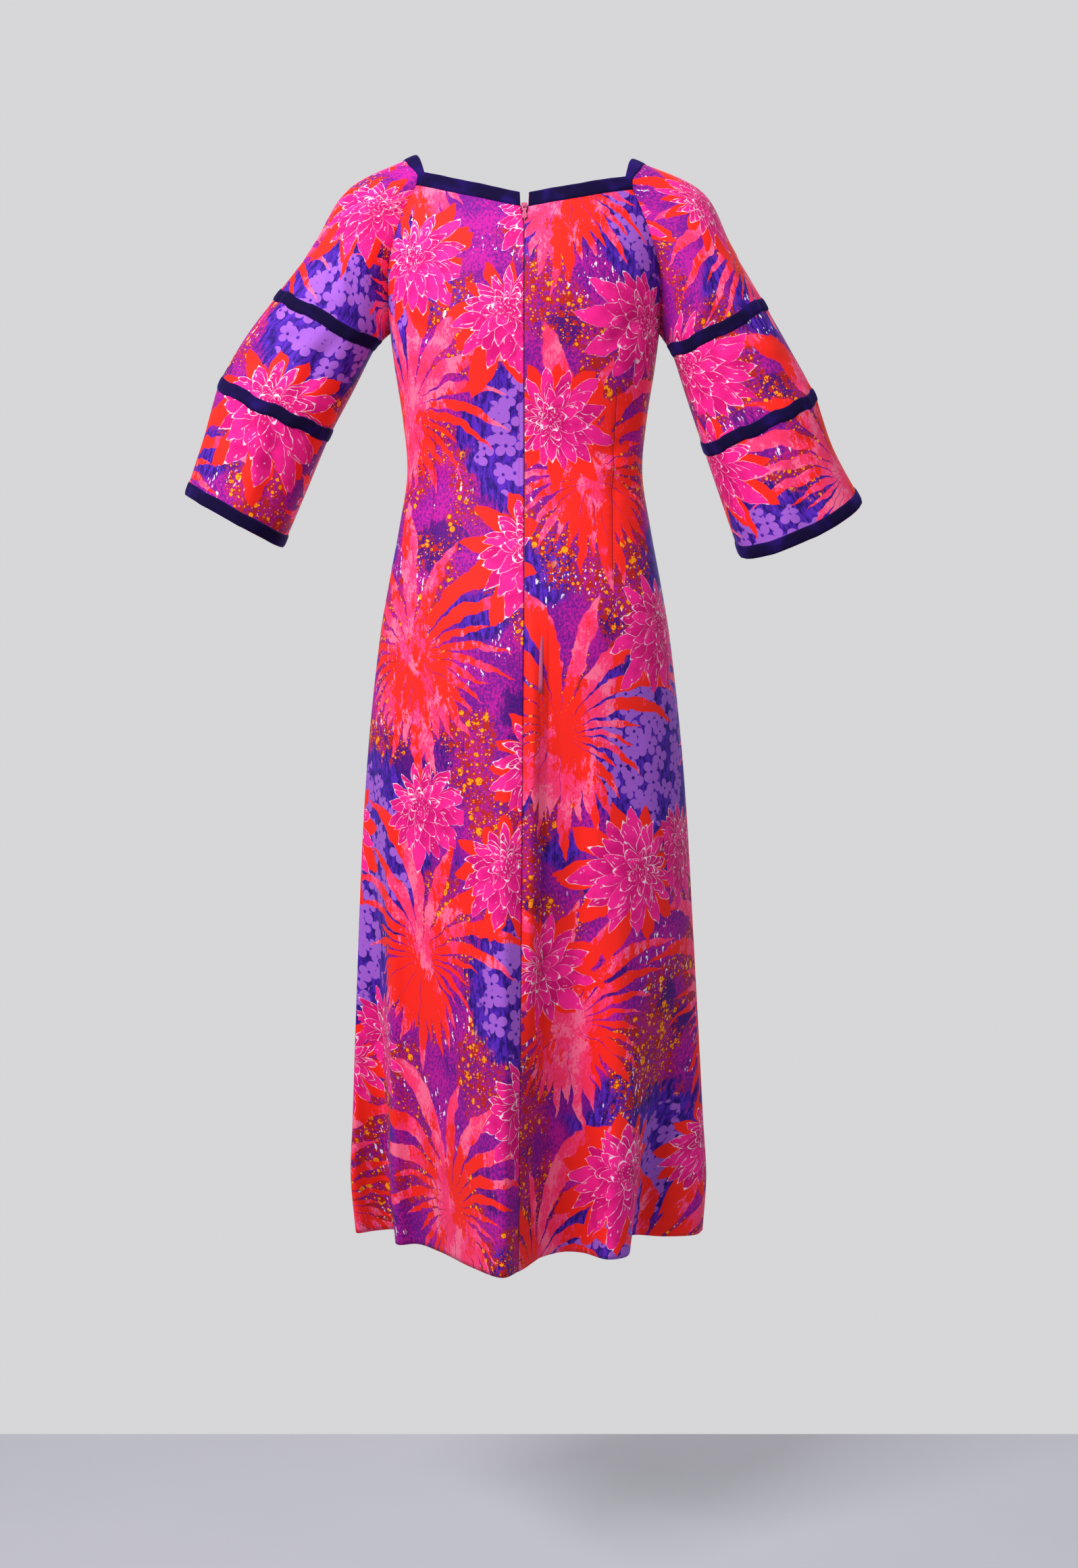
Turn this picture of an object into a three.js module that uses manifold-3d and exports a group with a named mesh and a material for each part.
// A long, close-fitting dress of printed cotton with raglan bell sleeves, as it hangs when worn.
// Its square neck, its sleeves and its cuffs are trimmed with velvet ribbon, and it closes with a zip
// down the centre back.
//
// Units are millimetres. +Z is up, -Y is the back of the dress, and +X is the wearer's right.
// The origin lies midway between the shoulders, at the height of the top of the shoulders.
//
// Each cloth piece is a thin wall built round a middle surface. A point of that surface has two
// coordinates: how far it is round the body or the arm, and how far it is from the hem or the neck.
// Neighbouring pieces share the points and the wall direction of their seam, and each stops a
// hair's breadth short of it.

import * as THREE from "three";
import Module from "manifold-3d";
import { mergeVertices } from "three/addons/utils/BufferGeometryUtils.js";

// Driving dimensions

const CLOTH = 2.0; // thickness of the cotton wall
const RIBBON = 1.4; // thickness of the velvet ribbon
const RIBBON_WIDTH = 16.5; // round the sleeves
const TAPE = 1.0; // thickness of the zip's cloth tape
const GAP = 0.3; // between pieces that touch
const SEAM_SET_BACK = 0.32; // each piece stops this far short of its seam

const HEM_Z = -1347;
const HIP_Z = -585; // below this the skirt hangs free and its folds grow
const ARMPIT_Z = -215;

// The neckline, whose right side hangs a little lower. Heights are those of the neckline at the
// centre line and at its square corners; shoulder is the neck edge on top of the shoulder, where
// the ribbon is RIBBON_WIDTH wide. drop is the height of the ribbon's lower edge below the neckline.
const NECK = {
  backCentre: -66,
  frontCentre: -92,
  left: { backCorner: -33, frontCorner: -67, shoulder: { x: 138, y: -2, z: 0 } },
  right: { backCorner: -38.5, frontCorner: -72, shoulder: { x: 136, y: -2, z: -4.5 } },
  drop: { centre: 18.5, corner: 15.5 },
  arch: 16,
};

const ZIP_END_ROW = 8; // row of the body's surface at which the zip tapes end
const TAPE_COLUMNS = { left: 2, right: 4 };
const ZIP_GAP = { open: 5.4, atSlider: 4.6, shut: 0.35 }; // half of the split at the centre back
const ZIP_SLIDER_Z = -86;
const ZIP_SHUT_Z = -108;

// Level sections of the body, from the neck down. halfWidth is taken at the side seam, which lies
// sideY in front of the origin; backY and frontY are the centre back and centre front; power shapes
// the corners of the oval, where 2 is an ellipse.
const BODY_SECTIONS = [
  { z: 10, halfWidth: 146, backY: -62, frontY: 62, sideY: 0, power: 2.3 },
  { z: -34, halfWidth: 160, backY: -76, frontY: 66, sideY: 0, power: 2.3 },
  { z: -75, halfWidth: 170, backY: -86, frontY: 82, sideY: 0, power: 2.3 },
  { z: -120, halfWidth: 174, backY: -101, frontY: 96, sideY: 0, power: 2.3 },
  { z: -165, halfWidth: 171.5, backY: -110, frontY: 108, sideY: 0, power: 2.3 },
  { z: -215, halfWidth: 166.5, backY: -112, frontY: 122, sideY: 0, power: 2.25 },
  { z: -262, halfWidth: 160.5, backY: -108, frontY: 131, sideY: 1, power: 2.2 },
  { z: -323, halfWidth: 151, backY: -97, frontY: 120, sideY: 4, power: 2.2 },
  { z: -390, halfWidth: 145.5, backY: -88, frontY: 103, sideY: 6, power: 2.2 },
  { z: -458, halfWidth: 155.5, backY: -95, frontY: 109, sideY: 8, power: 2.2 },
  { z: -525, halfWidth: 168, backY: -112, frontY: 119, sideY: 10, power: 2.15 },
  { z: -592, halfWidth: 179.5, backY: -124, frontY: 126, sideY: 12, power: 2.1 },
  { z: -727, halfWidth: 195, backY: -131, frontY: 133, sideY: 22, power: 2.0 },
  { z: -861, halfWidth: 205.5, backY: -134, frontY: 139, sideY: 33, power: 1.9 },
  { z: -1063, halfWidth: 216, backY: -136, frontY: 148, sideY: 46, power: 1.8 },
  { z: -1206, halfWidth: 222.5, backY: -136, frontY: 154, sideY: 54, power: 1.75 },
  { z: -1276, halfWidth: 226, backY: -136, frontY: 157, sideY: 60, power: 1.7 },
  { z: -1347, halfWidth: 221, backY: -136, frontY: 160, sideY: 66, power: 1.7 },
];

// Half-width at which the raglan seam lies, at heights from the armpit up to the neck corner.
const RAGLAN_BACK_LEFT = [
  { z: -215, x: 166.5 },
  { z: -197, x: 167.3 },
  { z: -165, x: 168 },
  { z: -130, x: 164.5 },
  { z: -102, x: 155.5 },
  { z: -73, x: 145 },
  { z: -48, x: 131 },
  { z: -33, x: 122 },
];
const RAGLAN_BACK_RIGHT = [
  { z: -215, x: 166.5 },
  { z: -197, x: 167 },
  { z: -170, x: 167 },
  { z: -142, x: 164 },
  { z: -104, x: 152 },
  { z: -73, x: 140 },
  { z: -55, x: 131.5 },
  { z: -38, x: 122.5 },
];
const RAGLAN_FRONT = [
  { z: -215, x: 166.5 },
  { z: -197, x: 167.2 },
  { z: -167, x: 167.6 },
  { z: -142, x: 163.5 },
  { z: -116, x: 155 },
  { z: -90, x: 141 },
  { z: -67, x: 124 },
];

// The hem seen from above, from the centre line to the side seam. startZ is the height at which
// each fold begins to leave the smooth skirt.
const HEM_BACK_LEFT = [
  { x: -7, y: -150, startZ: -560, fold: "centre seam, on the flank of the middle flute" },
  { x: -24, y: -180, startZ: -560, fold: "crest of the middle flute" },
  { x: -60, y: -131, startZ: -600, fold: "its left flank" },
  { x: -104, y: -47, startZ: -640, fold: "left valley" },
  { x: -134, y: -7, startZ: -660, fold: "foot of the left corner flute" },
  { x: -154, y: -14, startZ: -680, fold: "left corner flute" },
  { x: -160, y: -3, startZ: -700, fold: "its edge" },
  { x: -157, y: 36, startZ: -700, fold: "its hidden flank" },
  { x: -168, y: 74, startZ: -700, fold: "left side recess" },
  { x: -192, y: 66, startZ: -700, fold: "rise to the side" },
  { x: -212, y: 52, startZ: -700, fold: "left side flute" },
  { x: -216, y: 68, startZ: -700, fold: "left side seam" },
];
const HEM_BACK_RIGHT = [
  { x: -7, y: -150, startZ: -560, fold: "centre seam, on the flank of the middle flute" },
  { x: 0, y: -133, startZ: -560, fold: "the pleat beside the seam" },
  { x: 7, y: -112, startZ: -560, fold: "edge of the pleat" },
  { x: 11, y: -100, startZ: -570, fold: "foot of the pleat" },
  { x: 20, y: -77, startZ: -600, fold: "foot of the middle flute" },
  { x: 48, y: -49, startZ: -680, fold: "right valley" },
  { x: 70, y: -54, startZ: -760, fold: "rise to the right flute" },
  { x: 100, y: -90, startZ: -820, fold: "crest of the right flute" },
  { x: 120, y: -79, startZ: -880, fold: "its outer flank" },
  { x: 128, y: -45, startZ: -940, fold: "its edge" },
  { x: 125, y: 0, startZ: -980, fold: "its hidden flank" },
  { x: 136, y: 42, startZ: -980, fold: "right side recess" },
  { x: 174, y: 34, startZ: -980, fold: "rise to the side" },
  { x: 214, y: 42, startZ: -960, fold: "right side flute" },
  { x: 226, y: 70, startZ: -900, fold: "right side seam" },
];
const HEM_FRONT_LEFT = [
  { x: 0, y: 176, startZ: -600, fold: "centre front, on a broad flute" },
  { x: -44, y: 160, startZ: -640, fold: "its left flank" },
  { x: -84, y: 140, startZ: -700, fold: "left front valley" },
  { x: -124, y: 156, startZ: -700, fold: "left front flute" },
  { x: -162, y: 146, startZ: -700, fold: "its outer flank" },
  { x: -192, y: 112, startZ: -700, fold: "left side valley" },
  { x: -216, y: 68, startZ: -700, fold: "left side seam" },
];
const HEM_FRONT_RIGHT = [
  { x: 0, y: 176, startZ: -600, fold: "centre front, on a broad flute" },
  { x: 46, y: 158, startZ: -640, fold: "its right flank" },
  { x: 88, y: 142, startZ: -760, fold: "right front valley" },
  { x: 130, y: 160, startZ: -760, fold: "right front flute" },
  { x: 168, y: 144, startZ: -760, fold: "its outer flank" },
  { x: 200, y: 110, startZ: -820, fold: "right side valley" },
  { x: 226, y: 70, startZ: -900, fold: "right side seam" },
];

// The soft pleat beside the centre back seam. The cloth stands proud by depth at its middle rows of
// the right hem table and drops back at the next; it fades in below topZ and out above the hem.
const SEAM_PLEAT = { depth: 8, proud: [0, 0.9, 1, 0], topZ: -540, fullZ: -690, fadeFrom: -860, fadeTo: -1250 };

// Rings round each arm. outer is the end on the shoulder's side and inner the end under the arm;
// backDepth and frontDepth are measured from centreY, and droop lowers the back of the ring. crown and
// deltoid are places on the line over the top of the shoulder, between the neck and the upper band;
// share is how far between them they lie, and bulge how far the cloth stands out behind and before.
// swell is how far the outer side stands out midway between two bands.
const SLEEVE_LEFT = {
  side: -1,
  crown: { share: 0.42, x: 221, z: -42, bulge: 12 },
  deltoid: { share: 0.74, x: 261, z: -107, bulge: 9 },
  upperBand: { outerX: 305, outerZ: -168, innerX: 184, innerZ: -231, backDepth: 62, frontDepth: 60, centreY: -2, droop: 14 },
  middleBand: { outerX: 378, outerZ: -277, innerX: 244, innerZ: -343, backDepth: 70, frontDepth: 66, centreY: 6, droop: 12 },
  cuff: { outerX: 423, outerZ: -414, innerX: 305, innerZ: -480, backDepth: 72, frontDepth: 68, centreY: 20, droop: 7 },
  swell: { upper: 5, lower: -1 },
};
const SLEEVE_RIGHT = {
  side: 1,
  crown: { share: 0.42, x: 222, z: -45, bulge: 12 },
  deltoid: { share: 0.74, x: 255, z: -107, bulge: 9 },
  upperBand: { outerX: 296, outerZ: -180, innerX: 182, innerZ: -238, backDepth: 62, frontDepth: 60, centreY: -2, droop: 15 },
  middleBand: { outerX: 359, outerZ: -291, innerX: 223, innerZ: -358, backDepth: 70, frontDepth: 66, centreY: 6, droop: 17 },
  cuff: { outerX: 420, outerZ: -421, innerX: 270, innerZ: -490, backDepth: 74, frontDepth: 70, centreY: 20, droop: 25 },
  swell: { upper: 1, lower: -6 },
};

// How finely each surface is divided
const SKIRT_ROWS = 9;
const BODICE_ROWS = 9;
const YOKE_ROWS = 7;
const COLUMNS_PER_FOLD = 2;
const NECK_EDGE_STEPS = 3;
const CAP_ROWS = 4;
const ARM_ROWS = 3;
const FOREARM_ROWS = 3;

// Small helpers

const lerp = THREE.MathUtils.lerp;
const smoothstep = (value, low, high) => THREE.MathUtils.smoothstep(value, low, high);
const vector = (x, y, z) => new THREE.Vector3(x, y, z);

// A smooth value from a table whose rows run downwards in z.
function smoothFrom(rows, column) {
  const slope = rows.map((row, i) => {
    const before = rows[Math.max(i - 1, 0)];
    const after = rows[Math.min(i + 1, rows.length - 1)];
    return (after[column] - before[column]) / (after.z - before.z);
  });
  return (z) => {
    const falling = rows[0].z > rows[rows.length - 1].z;
    const last = rows.length - 1;
    let i = 0;
    while (i < last - 1 && (falling ? z < rows[i + 1].z : z > rows[i + 1].z)) i += 1;
    const span = rows[i + 1].z - rows[i].z;
    const t = THREE.MathUtils.clamp((z - rows[i].z) / span, 0, 1);
    const t2 = t * t;
    const t3 = t2 * t;
    return (
      (2 * t3 - 3 * t2 + 1) * rows[i][column] +
      (t3 - 2 * t2 + t) * span * slope[i] +
      (3 * t2 - 2 * t3) * rows[i + 1][column] +
      (t3 - t2) * span * slope[i + 1]
    );
  };
}

const section = Object.fromEntries(
  ["halfWidth", "backY", "frontY", "sideY", "power"].map((column) => [
    column,
    smoothFrom(BODY_SECTIONS, column),
  ]),
);

// Body surface

// Point on the oval at height z, at the angle turned from the centre line towards the side.
function ovalPoint(quarter, z, angle) {
  const depth = (quarter.front ? section.frontY(z) : section.backY(z)) - section.sideY(z);
  const roundness = 2 / section.power(z);
  const x = section.halfWidth(z) * Math.pow(Math.sin(angle), roundness);
  const y = section.sideY(z) + depth * Math.pow(Math.max(Math.cos(angle), 0), roundness);
  return vector(quarter.side * x, y, z);
}

// Angle on the oval at which the piece ends: the side seam, or the raglan seam above the armpit.
function endAngle(quarter, z) {
  if (z <= ARMPIT_Z) return Math.PI / 2;
  const share = Math.min(quarter.raglanX(z) / section.halfWidth(z), 1);
  return Math.asin(Math.pow(share, section.power(z) / 2));
}

// Point at a share of the way from the centre line to the piece's end, measured along the oval. The
// piece may begin a short way from the centre line.
function smoothBodyPoint(quarter, share, z, begin = 0) {
  const end = endAngle(quarter, z);
  const steps = 40;
  const points = [];
  const lengths = [0];
  for (let i = 0; i <= steps; i += 1) {
    points.push(ovalPoint(quarter, z, (end * i) / steps));
    if (i > 0) lengths.push(lengths[i - 1] + points[i].distanceTo(points[i - 1]));
  }
  const wanted = lerp(begin, lengths[steps], share);
  let i = 0;
  while (i < steps - 1 && lengths[i + 1] < wanted) i += 1;
  const t = (wanted - lengths[i]) / Math.max(lengths[i + 1] - lengths[i], 1e-9);
  return points[i].clone().lerp(points[i + 1], t);
}

// A quarter of the body: one side of the back or of the front. A place across it is the row of its
// hem table, so 2.5 lies midway between the third and fourth rows.
function makeQuarter(name, side, front, hemRows, raglanRows) {
  const sideNeck = side < 0 ? NECK.left : NECK.right;
  const hem = new THREE.CatmullRomCurve3(
    hemRows.map((row) => vector(row.x, row.y, HEM_Z)),
    false,
    "centripetal",
  );
  const folds = hemRows.length - 1;
  const fine = 12;
  const lengths = [0];
  for (let i = 1; i <= folds * fine; i += 1) {
    const step = hem.getPoint(i / (folds * fine)).distanceTo(hem.getPoint((i - 1) / (folds * fine)));
    lengths.push(lengths[i - 1] + step);
  }
  const whole = lengths[folds * fine];
  const quarter = {
    name,
    side,
    front,
    folds,
    neckCentre: front ? NECK.frontCentre : NECK.backCentre,
    neckCorner: front ? sideNeck.frontCorner : sideNeck.backCorner,
    raglanX: smoothFrom(raglanRows, "x"),
    hemPoint: (place) => hem.getPoint(place / folds),
    shareAt: (place) => {
      const at = THREE.MathUtils.clamp(place, 0, folds) * fine;
      const i = Math.min(Math.floor(at), folds * fine - 1);
      return lerp(lengths[i], lengths[i + 1], at - i) / whole;
    },
    startAt: (place) => {
      const i = Math.min(Math.floor(place), folds - 1);
      return lerp(hemRows[i].startZ, hemRows[i + 1].startZ, place - i);
    },
  };
  return quarter;
}

const backLeft = makeQuarter("back_left", -1, false, HEM_BACK_LEFT, RAGLAN_BACK_LEFT);
const backRight = makeQuarter("back_right", 1, false, HEM_BACK_RIGHT, RAGLAN_BACK_RIGHT);
const frontLeft = makeQuarter("front_left", -1, true, HEM_FRONT_LEFT, RAGLAN_FRONT);
const frontRight = makeQuarter("front_right", 1, true, HEM_FRONT_RIGHT, RAGLAN_FRONT);
const acrossCentre = new Map([
  [backLeft, backRight],
  [backRight, backLeft],
  [frontLeft, frontRight],
  [frontRight, frontLeft],
]);
const acrossSide = new Map([
  [backLeft, frontLeft],
  [frontLeft, backLeft],
  [backRight, frontRight],
  [frontRight, backRight],
]);

// How far the pleat beside the centre back seam stands out.
function pleatDepth(quarter, place, z) {
  if (quarter !== backRight || place >= SEAM_PLEAT.proud.length - 1 || z > SEAM_PLEAT.topZ) return 0;
  const i = Math.floor(place);
  const across = lerp(SEAM_PLEAT.proud[i], SEAM_PLEAT.proud[i + 1], place - i);
  const grown = smoothstep(-z, -SEAM_PLEAT.topZ, -SEAM_PLEAT.fullZ);
  const left = 1 - smoothstep(-z, -SEAM_PLEAT.fadeFrom, -SEAM_PLEAT.fadeTo);
  return SEAM_PLEAT.depth * across * grown * left;
}

function bodyPoint(quarter, place, z, begin = 0) {
  const share = quarter.shareAt(place);
  const point = smoothBodyPoint(quarter, share, z, begin);
  if (z < HIP_Z + 30) {
    const start = quarter.startAt(place);
    const grown = Math.pow(THREE.MathUtils.clamp((start - z) / (start - HEM_Z), 0, 1), 1.15);
    const away = quarter.hemPoint(place).sub(smoothBodyPoint(quarter, share, HEM_Z));
    point.x += away.x * grown;
    point.y += away.y * grown;
    }
  point.y -= pleatDepth(quarter, place, z);
  point.z = z;
  return point;
}

// Wall direction of the body surface, pointing out of the dress.
function bodyNormal(quarter, place, z) {
  const step = 0.04;
  const low = Math.max(place - step, 0);
  const high = Math.min(place + step, quarter.folds);
  const across = bodyPoint(quarter, high, z).sub(bodyPoint(quarter, low, z));
  const up = bodyPoint(quarter, place, z + 2).sub(bodyPoint(quarter, place, z - 2));
  const normal = new THREE.Vector3().crossVectors(across, up).normalize();
  const outward = quarter.side * (quarter.front ? -1 : 1);
  return normal.multiplyScalar(outward);
}

// Rows of a quarter, from the hem to the neck. The upper ones fan out under the neckline, and the
// last two are the edges of the neck ribbon.
const ROWS = SKIRT_ROWS + BODICE_ROWS + YOKE_ROWS;
const YOKE_START = SKIRT_ROWS + BODICE_ROWS;
function rowHeight(quarter, place, row) {
  if (row <= SKIRT_ROWS) return lerp(HEM_Z, HIP_Z, row / SKIRT_ROWS);
  if (row <= YOKE_START) return lerp(HIP_Z, ARMPIT_Z, (row - SKIRT_ROWS) / BODICE_ROWS);
  const share = quarter.shareAt(place);
  const neck = lerp(quarter.neckCentre, quarter.neckCorner, share);
  if (row === ROWS) return neck;
  const ribbonEdge = neck - lerp(NECK.drop.centre, NECK.drop.corner, share);
  const t = (row - YOKE_START) / (YOKE_ROWS - 1);
  return lerp(ARMPIT_Z, ribbonEdge, Math.pow(t, 1.25));
}

// Sleeve surface

function sleeveRing(sleeve, ring, turn) {
  const angle = Math.PI * turn;
  const roundness = 0.92;
  const cosine = Math.sign(Math.cos(angle)) * Math.pow(Math.abs(Math.cos(angle)), roundness);
  const sine = Math.sign(Math.sin(angle)) * Math.pow(Math.abs(Math.sin(angle)), roundness);
  const depth = sine > 0 ? ring.backDepth : ring.frontDepth;
  return vector(
    sleeve.side * ((ring.outerX + ring.innerX) / 2 + ((ring.outerX - ring.innerX) / 2) * cosine),
    ring.centreY - depth * sine,
    (ring.outerZ + ring.innerZ) / 2 + ((ring.outerZ - ring.innerZ) / 2) * cosine - ring.droop * sine,
  );
}

// The sleeve's top edge: from the top of the shoulder along the neck to its corner, then down the
// raglan seam to the armpit. Steps run from 0 at the shoulder to HALF_STEPS at the armpit, negative
// ones down the front.
const HALF_STEPS = NECK_EDGE_STEPS + YOKE_ROWS;
// Share of the half turn round the arm at which the sleeve hangs below each step
const STEP_TURNS = [0, 0.07, 0.14, 0.21, 0.27, 0.37, 0.47, 0.58, 0.7, 0.84, 1];
function makeSleeve(table, neck, back, front) {
  const top = vector(table.side * neck.shoulder.x, neck.shoulder.y, neck.shoulder.z);
  const edgePoint = (step) => {
    const quarter = step >= 0 ? back : front;
    const count = Math.abs(step);
    if (count >= NECK_EDGE_STEPS) {
      const row = ROWS - (count - NECK_EDGE_STEPS);
      return bodyPoint(quarter, quarter.folds, rowHeight(quarter, quarter.folds, row));
    }
    const corner = bodyPoint(quarter, quarter.folds, quarter.neckCorner);
    const t = count / NECK_EDGE_STEPS;
    const point = top.clone().lerp(corner, t);
    point.z += 4 * NECK.arch * t * (1 - t);
    return point;
  };
  // A ring between the neck and the upper band, whose top lies at a given place.
  const shoulderRing = (place, first, armPoint, turn) => {
    const middleTop = top.clone().lerp(sleeveRing(table, table.upperBand, 0), place.share);
    const over = Math.max(Math.cos(Math.PI * turn), 0);
    const point = first.clone().lerp(armPoint, place.share);
    point.x += (table.side * place.x - middleTop.x) * over;
    point.z += (place.z - middleTop.z) * over;
    point.y -= place.bulge * Math.sin(Math.PI * turn);
    return point;
  };
  const betweenBands = (upper, lower, swell, turn) => {
    const point = upper.clone().lerp(lower, 0.5);
    point.x += table.side * swell * Math.max(Math.cos(Math.PI * turn), 0);
    return point;
  };
  const curves = new Map();
  const curveAt = (step) => {
    if (!curves.has(step)) {
      const turn = Math.sign(step) * STEP_TURNS[Math.abs(step)];
      const first = edgePoint(step);
      const [upper, middle, cuff] = [table.upperBand, table.middleBand, table.cuff].map((ring) =>
        sleeveRing(table, ring, turn),
      );
      const points = [
        first,
        shoulderRing(table.crown, first, upper, turn),
        shoulderRing(table.deltoid, first, upper, turn),
        upper,
        betweenBands(upper, middle, table.swell.upper, turn),
        middle,
        betweenBands(middle, cuff, table.swell.lower, turn),
        cuff,
      ];
      const curve = new THREE.CatmullRomCurve3(points, false, "centripetal");
      const spans = points.length - 1;
      curve.arcLengthDivisions = 40 * spans;
      const lengths = curve.getLengths();
      const lengthTo = (point) => lengths[40 * points.indexOf(point)];
      curves.set(step, { curve, upper: lengthTo(upper), middle: lengthTo(middle), cuff: lengthTo(cuff) });
    }
    return curves.get(step);
  };
  return {
    side: table.side,
    back,
    front,
    marks: curveAt,
    pointAt: (step, length) => {
      const { curve, cuff } = curveAt(step);
      return curve.getPointAt(THREE.MathUtils.clamp(length / cuff, 0, 1));
    },
  };
}

// Lengths down the sleeve at which its rows lie, from the top edge to the cuff. The edges of each
// ribbon are rows. Row 1 is the outer edge of the neck ribbon, which narrows to the mitre.
function sleeveRowLengths(sleeve, step) {
  const { upper, middle, cuff } = sleeve.marks(step);
  const half = RIBBON_WIDTH / 2;
  const count = Math.abs(step);
  const firstBand = upper - half;
  const edge = count < NECK_EDGE_STEPS ? RIBBON_WIDTH : 0.55 * RIBBON_WIDTH;
  const lengths = [0, Math.min(edge, 0.4 * firstBand)];
  const fill = (from, to, steps) => {
    for (let i = 1; i <= steps; i += 1) lengths.push(lerp(from, to, i / steps));
  };
  fill(lengths[1], firstBand, CAP_ROWS);
  lengths.push(upper + half);
  fill(upper + half, middle - half, ARM_ROWS);
  lengths.push(middle + half);
  fill(middle + half, cuff - RIBBON_WIDTH, FOREARM_ROWS);
  lengths.push(cuff);
  return lengths;
}
const UPPER_BAND_ROW = 1 + CAP_ROWS;
const MIDDLE_BAND_ROW = UPPER_BAND_ROW + 1 + ARM_ROWS;
const CUFF_BAND_ROW = MIDDLE_BAND_ROW + 1 + FOREARM_ROWS;

const sleeveLeft = makeSleeve(SLEEVE_LEFT, NECK.left, backLeft, frontLeft);
const sleeveRight = makeSleeve(SLEEVE_RIGHT, NECK.right, backRight, frontRight);
const SLEEVE_STEPS = Array.from({ length: 2 * HALF_STEPS }, (_, i) => i - HALF_STEPS);
const stepAfter = (step, by) => {
  const count = 2 * HALF_STEPS;
  return ((((step + by + HALF_STEPS) % count) + count) % count) - HALF_STEPS;
};

function sleeveNormal(sleeve, step, length) {
  const before = stepAfter(step, -1);
  const after = stepAfter(step, 1);
  const near = Math.max(length - 3, 0);
  const along = sleeve.pointAt(step, length + 3).sub(sleeve.pointAt(step, near));
  const round = sleeve.pointAt(after, length).sub(sleeve.pointAt(before, length));
  return new THREE.Vector3().crossVectors(round, along).normalize().multiplyScalar(sleeve.side);
}

// Seams, where two or more pieces share one wall direction. It lies midway between the directions of
// their walls, and is stretched so that each wall keeps its thickness where they meet at an angle.
function seamDirection(normals) {
  const middle = normals.reduce((sum, normal) => sum.add(normal), vector(0, 0, 0)).normalize();
  const least = Math.min(...normals.map((normal) => normal.dot(middle)));
  return middle.multiplyScalar(1 / THREE.MathUtils.clamp(least, 0.4, 1));
}

function bodySeamNormal(quarter, place, z) {
  const other = (place === 0 ? acrossCentre : acrossSide).get(quarter);
  const otherPlace = place === 0 ? 0 : other.folds;
  return seamDirection([bodyNormal(quarter, place, z), bodyNormal(other, otherPlace, z)]);
}

// Wall direction along the raglan seam, at a step of the sleeve's top edge.
function raglanNormal(sleeve, step) {
  const quarter = step >= 0 ? sleeve.back : sleeve.front;
  const row = ROWS - (Math.abs(step) - NECK_EDGE_STEPS);
  const z = rowHeight(quarter, quarter.folds, row);
  const atArmpit = Math.abs(step) === HALF_STEPS;
  const body = atArmpit ? bodySeamNormal(quarter, quarter.folds, z) : bodyNormal(quarter, quarter.folds, z);
  return seamDirection([sleeveNormal(sleeve, step, 0), body]);
}

// Walls

// The triangles of a sheet between two columns and two rows. Each is three places [column, row].
// Cells of the columns for which mirrored() holds are cut along the other diagonal.
function cells(firstColumn, lastColumn, firstRow, lastRow, mirrored = () => false, columns = Infinity) {
  const found = [];
  for (let i = firstColumn; i < lastColumn; i += 1) {
    for (let j = firstRow; j < lastRow; j += 1) {
      const a = [i, j];
      const b = [(i + 1) % columns, j];
      const c = [(i + 1) % columns, j + 1];
      const d = [i, j + 1];
      if (mirrored(i)) found.push([a, b, d], [b, c, d]);
      else found.push([a, b, c], [a, c, d]);
    }
  }
  return found;
}

// A closed wall over some triangles of a sheet of {point, normal}. Its middle lies at a distance
// from the sheet, and it takes in only the points that its triangles use.
function wallOver(sheet, triangles, thickness, distance = 0) {
  const numbers = new Map();
  const corners = [];
  const numberOf = ([i, j]) => {
    const key = `${i} ${j}`;
    if (!numbers.has(key)) {
      numbers.set(key, corners.length);
      corners.push(sheet[i][j]);
    }
    return numbers.get(key);
  };
  const faces = triangles.map((triangle) => triangle.map(numberOf));
  const count = corners.length;
  const positions = [];
  for (const by of [distance + thickness / 2, distance - thickness / 2]) {
    for (const { point, normal } of corners) {
      positions.push(...point.clone().addScaledVector(normal, by).toArray());
    }
  }
  const indices = [];
  const edges = new Set(faces.flatMap(([a, b, c]) => [`${a} ${b}`, `${b} ${c}`, `${c} ${a}`]));
  for (const [a, b, c] of faces) {
    indices.push(a, b, c, c + count, b + count, a + count);
    for (const [from, to] of [[a, b], [b, c], [c, a]]) {
      if (edges.has(`${to} ${from}`)) continue;
      indices.push(to, from, from + count, to, from + count, to + count);
    }
  }
  const at = (k) => vector(positions[3 * k], positions[3 * k + 1], positions[3 * k + 2]);
  let volume = 0;
  for (let k = 0; k < indices.length; k += 3) {
    volume += at(indices[k]).dot(at(indices[k + 1]).cross(at(indices[k + 2])));
  }
  if (volume < 0) indices.reverse();
  const geometry = new THREE.BufferGeometry();
  geometry.setAttribute("position", new THREE.Float32BufferAttribute(positions, 3));
  geometry.setIndex(indices);
  return geometry;
}

// Moves a point along the sheet, towards a neighbour.
function setBack(point, neighbour, by) {
  const away = neighbour.clone().sub(point);
  return point.clone().addScaledVector(away.normalize(), by);
}

// Body pieces

const halfSplit = (z) => {
  const { open, atSlider, shut } = ZIP_GAP;
  if (z < ZIP_SHUT_Z) return shut;
  const bottom = ZIP_SLIDER_Z + 2;
  if (z < bottom) return lerp(shut, atSlider, (z - ZIP_SHUT_Z) / (bottom - ZIP_SHUT_Z));
  return lerp(atSlider, open, Math.min((z - bottom) / (NECK.backCentre - bottom), 1));
};

const placesAcross = (quarter) =>
  Array.from({ length: quarter.folds * COLUMNS_PER_FOLD + 1 }, (_, i) => i / COLUMNS_PER_FOLD);
const allRows = Array.from({ length: ROWS + 1 }, (_, row) => row);

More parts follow.
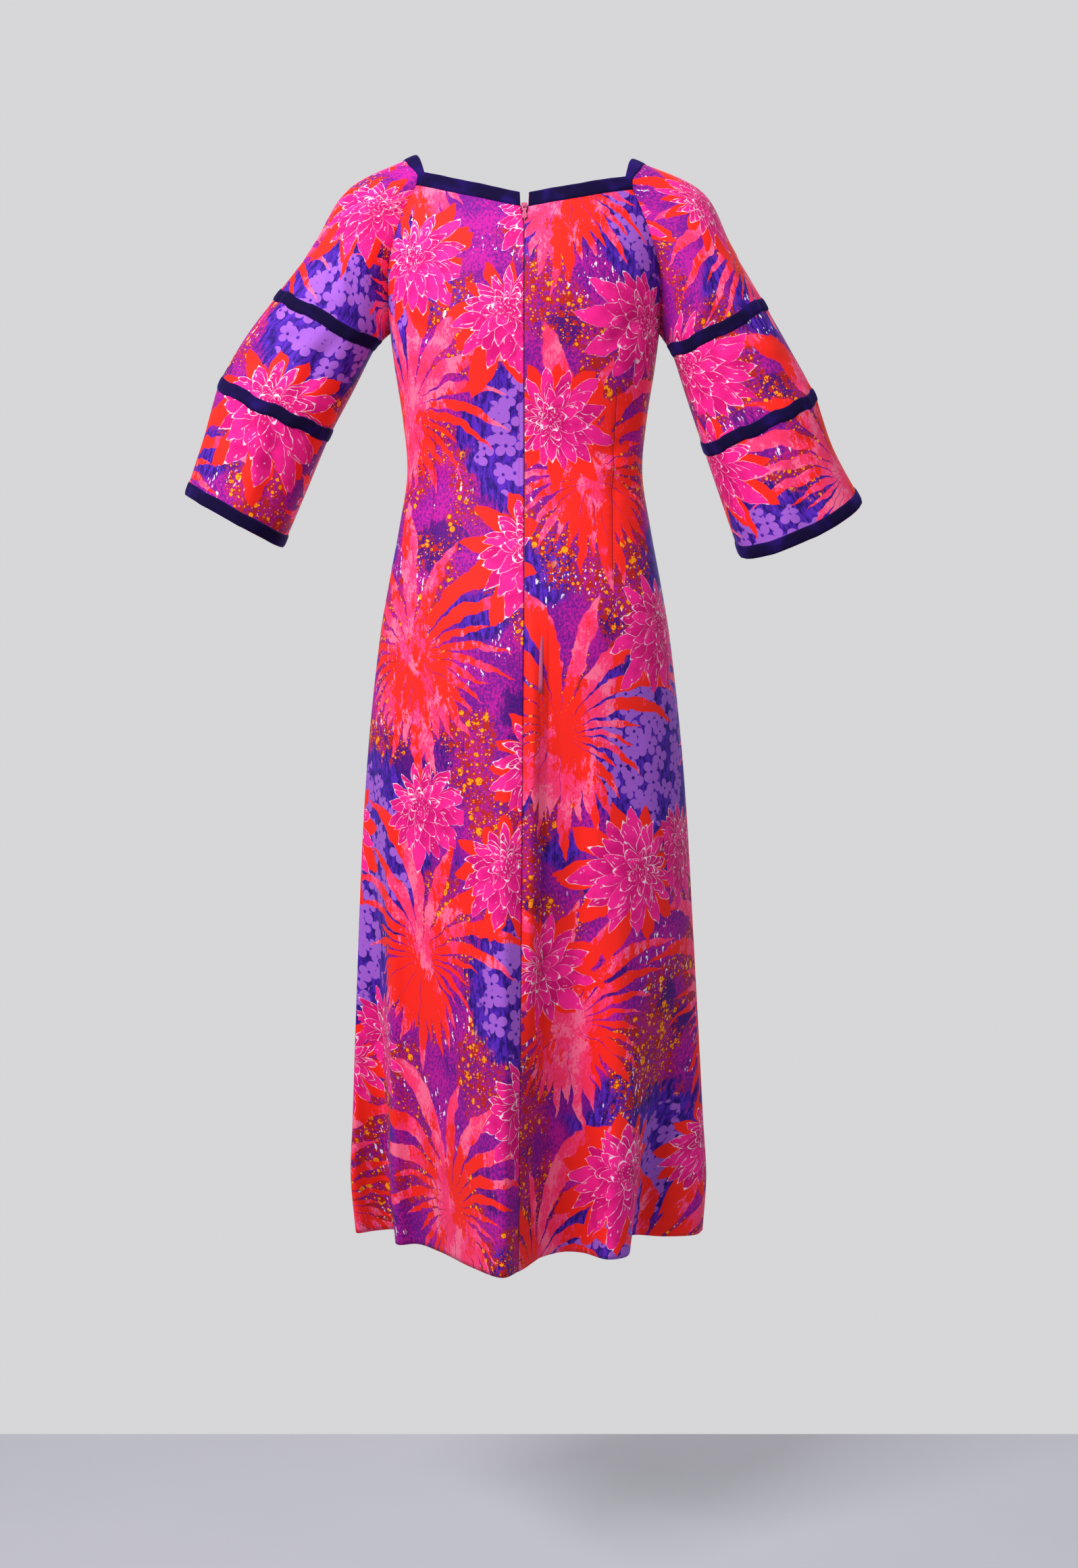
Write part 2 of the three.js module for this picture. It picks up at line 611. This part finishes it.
function bodySheet(quarter) {
  const sleeve = quarter.side < 0 ? sleeveLeft : sleeveRight;
  return placesAcross(quarter).map((place) =>
    allRows.map((row) => {
      const z = rowHeight(quarter, place, row);
      const begin = quarter.front ? 0 : halfSplit(z) - ZIP_GAP.shut;
      let point = bodyPoint(quarter, place, z, begin);
      let normal = bodyNormal(quarter, place, z);
      if (place === 0) {
        normal = bodySeamNormal(quarter, 0, z);
        if (!quarter.front) point = setBack(point, bodyPoint(quarter, 0.5, z, begin), ZIP_GAP.shut);
      }
      if (place === quarter.folds) {
        const step = (quarter.front ? -1 : 1) * (ROWS - row + NECK_EDGE_STEPS);
        normal = row >= YOKE_START ? raglanNormal(sleeve, step) : bodySeamNormal(quarter, place, z);
        point = setBack(point, bodyPoint(quarter, place - 0.5, z), SEAM_SET_BACK * normal.length());
      }
      return { point, normal };
    }),
  );
}

const backSheets = [bodySheet(backLeft), bodySheet(backRight)];
const frontSheet = [...bodySheet(frontLeft).reverse(), ...bodySheet(frontRight).slice(1)];
const frontMiddle = frontLeft.folds * COLUMNS_PER_FOLD;
const leftHalf = (i) => i < frontMiddle;
const lastOf = (sheet) => sheet.length - 1;

// Sleeve pieces

function sleevePlace(sleeve, step, length) {
  const onSeam = length === 0 && Math.abs(step) >= NECK_EDGE_STEPS;
  const normal = onSeam ? raglanNormal(sleeve, step) : sleeveNormal(sleeve, step, length);
  let point = sleeve.pointAt(step, length);
  if (onSeam) point = setBack(point, sleeve.pointAt(step, 5), SEAM_SET_BACK * normal.length());
  return { point, normal };
}

const sleeveSheet = (sleeve) =>
  SLEEVE_STEPS.map((step) =>
    sleeveRowLengths(sleeve, step).map((length) => sleevePlace(sleeve, step, length)),
  );
const sleeveColumns = SLEEVE_STEPS.length;
const backHalf = (i) => SLEEVE_STEPS[i] >= 0;
const sleeveBand = (firstRow, lastRow) =>
  cells(0, sleeveColumns, firstRow, lastRow, backHalf, sleeveColumns);

// The neck ribbon over the top of a shoulder, as far as the mitres at the neck corners.
function shoulderCells() {
  const at = (step) => SLEEVE_STEPS.indexOf(step);
  const corner = NECK_EDGE_STEPS;
  return [
    ...cells(at(-corner), at(corner), 0, 1, backHalf),
    [[at(corner), 0], [at(corner + 1), 0], [at(corner), 1]],
    [[at(-corner - 1), 0], [at(-corner), 0], [at(-corner), 1]],
  ];
}

// How far out of the cloth's middle the middle of a ribbon lies
const ON_CLOTH = CLOTH / 2 + GAP + RIBBON / 2;
const BEHIND_CLOTH = -(CLOTH / 2 + GAP + TAPE / 2);

// Zip: a tape behind each edge of the centre back, a slider between the tapes and a pull that hangs
// from it

const SLIDER = { topHalf: 3.9, bottomHalf: 2.6, length: 11, thickness: 4.2 };
const BRIDGE = { thickness: 1.6, eye: 1.9, leg: 1.2 };
const PULL = { width: 5.2, endWidth: 6.4, length: 17, thickness: 1.2, eyeWidth: 2.5, eyeLength: 3.3 };

const wasm = await Module();
wasm.setup();
function solidFrom(geometry) {
  const bare = geometry.index ? geometry.toNonIndexed() : geometry.clone();
  bare.deleteAttribute("normal");
  bare.deleteAttribute("uv");
  const merged = mergeVertices(bare, 1e-4);
  return new wasm.Manifold(
    new wasm.Mesh({
      numProp: 3,
      vertProperties: new Float32Array(merged.attributes.position.array),
      triVerts: new Uint32Array(merged.index.array),
    }),
  );
}
function geometryFrom(solid) {
  const mesh = solid.getMesh();
  const geometry = new THREE.BufferGeometry();
  geometry.setAttribute("position", new THREE.Float32BufferAttribute(mesh.vertProperties, 3));
  geometry.setIndex(Array.from(mesh.triVerts));
  return geometry;
}

// In the zip's own frame x runs across, y out of the dress and z up along the back.
function sliderGeometry() {
  const { topHalf, bottomHalf, length, thickness } = SLIDER;
  const outline = new THREE.Shape();
  outline.moveTo(-bottomHalf, -length / 2);
  outline.quadraticCurveTo(0, -length / 2 - 1.2, bottomHalf, -length / 2);
  outline.lineTo(topHalf, length / 2 - 2.5);
  outline.quadraticCurveTo(topHalf, length / 2, topHalf - 2, length / 2);
  outline.lineTo(2 - topHalf, length / 2);
  outline.quadraticCurveTo(-topHalf, length / 2, -topHalf, length / 2 - 2.5);
  outline.closePath();
  const body = new THREE.ExtrudeGeometry(outline, { depth: thickness, bevelEnabled: false, curveSegments: 5 });
  body.rotateX(Math.PI / 2);
  body.translate(0, thickness, 0);
  const span = BRIDGE.eye + 2 * BRIDGE.leg;
  const height = BRIDGE.eye + BRIDGE.leg;
  const bridge = new THREE.BoxGeometry(BRIDGE.thickness, height + 0.6, span);
  bridge.translate(0, thickness - 0.6 + (height + 0.6) / 2, 0);
  const eye = new THREE.BoxGeometry(BRIDGE.thickness + 2, BRIDGE.eye, BRIDGE.eye);
  eye.translate(0, thickness + BRIDGE.eye / 2, 0);
  return geometryFrom(solidFrom(body).add(solidFrom(bridge)).subtract(solidFrom(eye)));
}

function pullGeometry() {
  const { width, endWidth, length, thickness, eyeWidth, eyeLength } = PULL;
  const bar = thickness / 2;
  const outline = new THREE.Shape();
  outline.moveTo(-width / 2 + 1, bar);
  outline.lineTo(width / 2 - 1, bar);
  outline.quadraticCurveTo(width / 2, bar, width / 2, bar - 1);
  outline.lineTo(width / 2, -eyeLength - 2);
  outline.lineTo(width / 2 - 1, -eyeLength - 4);
  outline.lineTo(endWidth / 2, -length + 3);
  outline.absarc(0, -length + 3, endWidth / 2, 0, -Math.PI, true);
  outline.lineTo(1 - width / 2, -eyeLength - 4);
  outline.lineTo(-width / 2, -eyeLength - 2);
  outline.lineTo(-width / 2, bar - 1);
  outline.quadraticCurveTo(-width / 2, bar, -width / 2 + 1, bar);
  const eye = new THREE.Path();
  eye.moveTo(-eyeWidth / 2, -bar);
  eye.lineTo(-eyeWidth / 2, -eyeLength);
  eye.lineTo(eyeWidth / 2, -eyeLength);
  eye.lineTo(eyeWidth / 2, -bar);
  eye.closePath();
  outline.holes.push(eye);
  const geometry = new THREE.ExtrudeGeometry(outline, { depth: thickness, bevelEnabled: false, curveSegments: 8 });
  geometry.rotateX(Math.PI / 2);
  geometry.translate(0, thickness / 2, 0);
  return geometry;
}

// Materials

const cotton = new THREE.MeshStandardMaterial({ color: 0xd81b7a, roughness: 0.85, metalness: 0 });
const velvet = new THREE.MeshStandardMaterial({ color: 0x1c0850, roughness: 0.95, metalness: 0 });
const tapeCloth = new THREE.MeshStandardMaterial({ color: 0xd8628e, roughness: 0.8, metalness: 0 });
const zipMetal = new THREE.MeshStandardMaterial({ color: 0xc2517c, roughness: 0.4, metalness: 0.6 });

// The dress

const dress = new THREE.Group();
function addPiece(name, geometry, material, parent = dress) {
  const mesh = new THREE.Mesh(geometry, material);
  mesh.name = name;
  parent.add(mesh);
  return mesh;
}

["left", "right"].forEach((name, k) => {
  const sheet = backSheets[k];
  const mirrored = () => k === 0;
  addPiece(`back_${name}`, wallOver(sheet, cells(0, lastOf(sheet), 0, ROWS, mirrored), CLOTH), cotton);
  const ribbon = cells(0, lastOf(sheet), ROWS - 1, ROWS, mirrored);
  addPiece(`neck_ribbon_back_${name}`, wallOver(sheet, ribbon, RIBBON, ON_CLOTH), velvet);
  const tape = cells(0, TAPE_COLUMNS[name], ZIP_END_ROW, ROWS, mirrored);
  addPiece(`zip_tape_${name}`, wallOver(sheet, tape, TAPE, BEHIND_CLOTH), tapeCloth);
});

const frontCells = (firstRow) => cells(0, lastOf(frontSheet), firstRow, ROWS, leftHalf);
addPiece("front", wallOver(frontSheet, frontCells(0), CLOTH), cotton);
addPiece("neck_ribbon_front", wallOver(frontSheet, frontCells(ROWS - 1), RIBBON, ON_CLOTH), velvet);

for (const [name, sleeve] of [["left", sleeveLeft], ["right", sleeveRight]]) {
  const sheet = sleeveSheet(sleeve);
  const lastRow = CUFF_BAND_ROW + 1;
  addPiece(`sleeve_${name}`, wallOver(sheet, sleeveBand(0, lastRow), CLOTH), cotton);
  addPiece(`neck_ribbon_shoulder_${name}`, wallOver(sheet, shoulderCells(), RIBBON, ON_CLOTH), velvet);
  for (const [band, row] of [["upper", UPPER_BAND_ROW], ["middle", MIDDLE_BAND_ROW], ["cuff", CUFF_BAND_ROW]]) {
    addPiece(`sleeve_ribbon_${band}_${name}`, wallOver(sheet, sleeveBand(row, row + 1), RIBBON, ON_CLOTH), velvet);
  }
}

const zip = new THREE.Group();
const zipPlace = bodyPoint(backRight, 0, ZIP_SLIDER_Z);
const zipNormal = bodySeamNormal(backRight, 0, ZIP_SLIDER_Z);
zip.position.copy(zipPlace).addScaledVector(zipNormal, -(CLOTH / 2 + 2 * GAP));
// The tilt follows the slope of the back, and a half turn about z points y out of it.
zip.rotation.x = -Math.atan2(zipNormal.z, -zipNormal.y);
const zipFacing = new THREE.Group();
zipFacing.rotation.z = Math.PI;
zip.add(zipFacing);
dress.add(zip);
addPiece("zip_slider", sliderGeometry(), zipMetal, zipFacing);
const pull = addPiece("zip_pull", pullGeometry(), zipMetal, zipFacing);
pull.position.set(0, SLIDER.thickness + BRIDGE.eye / 2, 0);

export default dress;
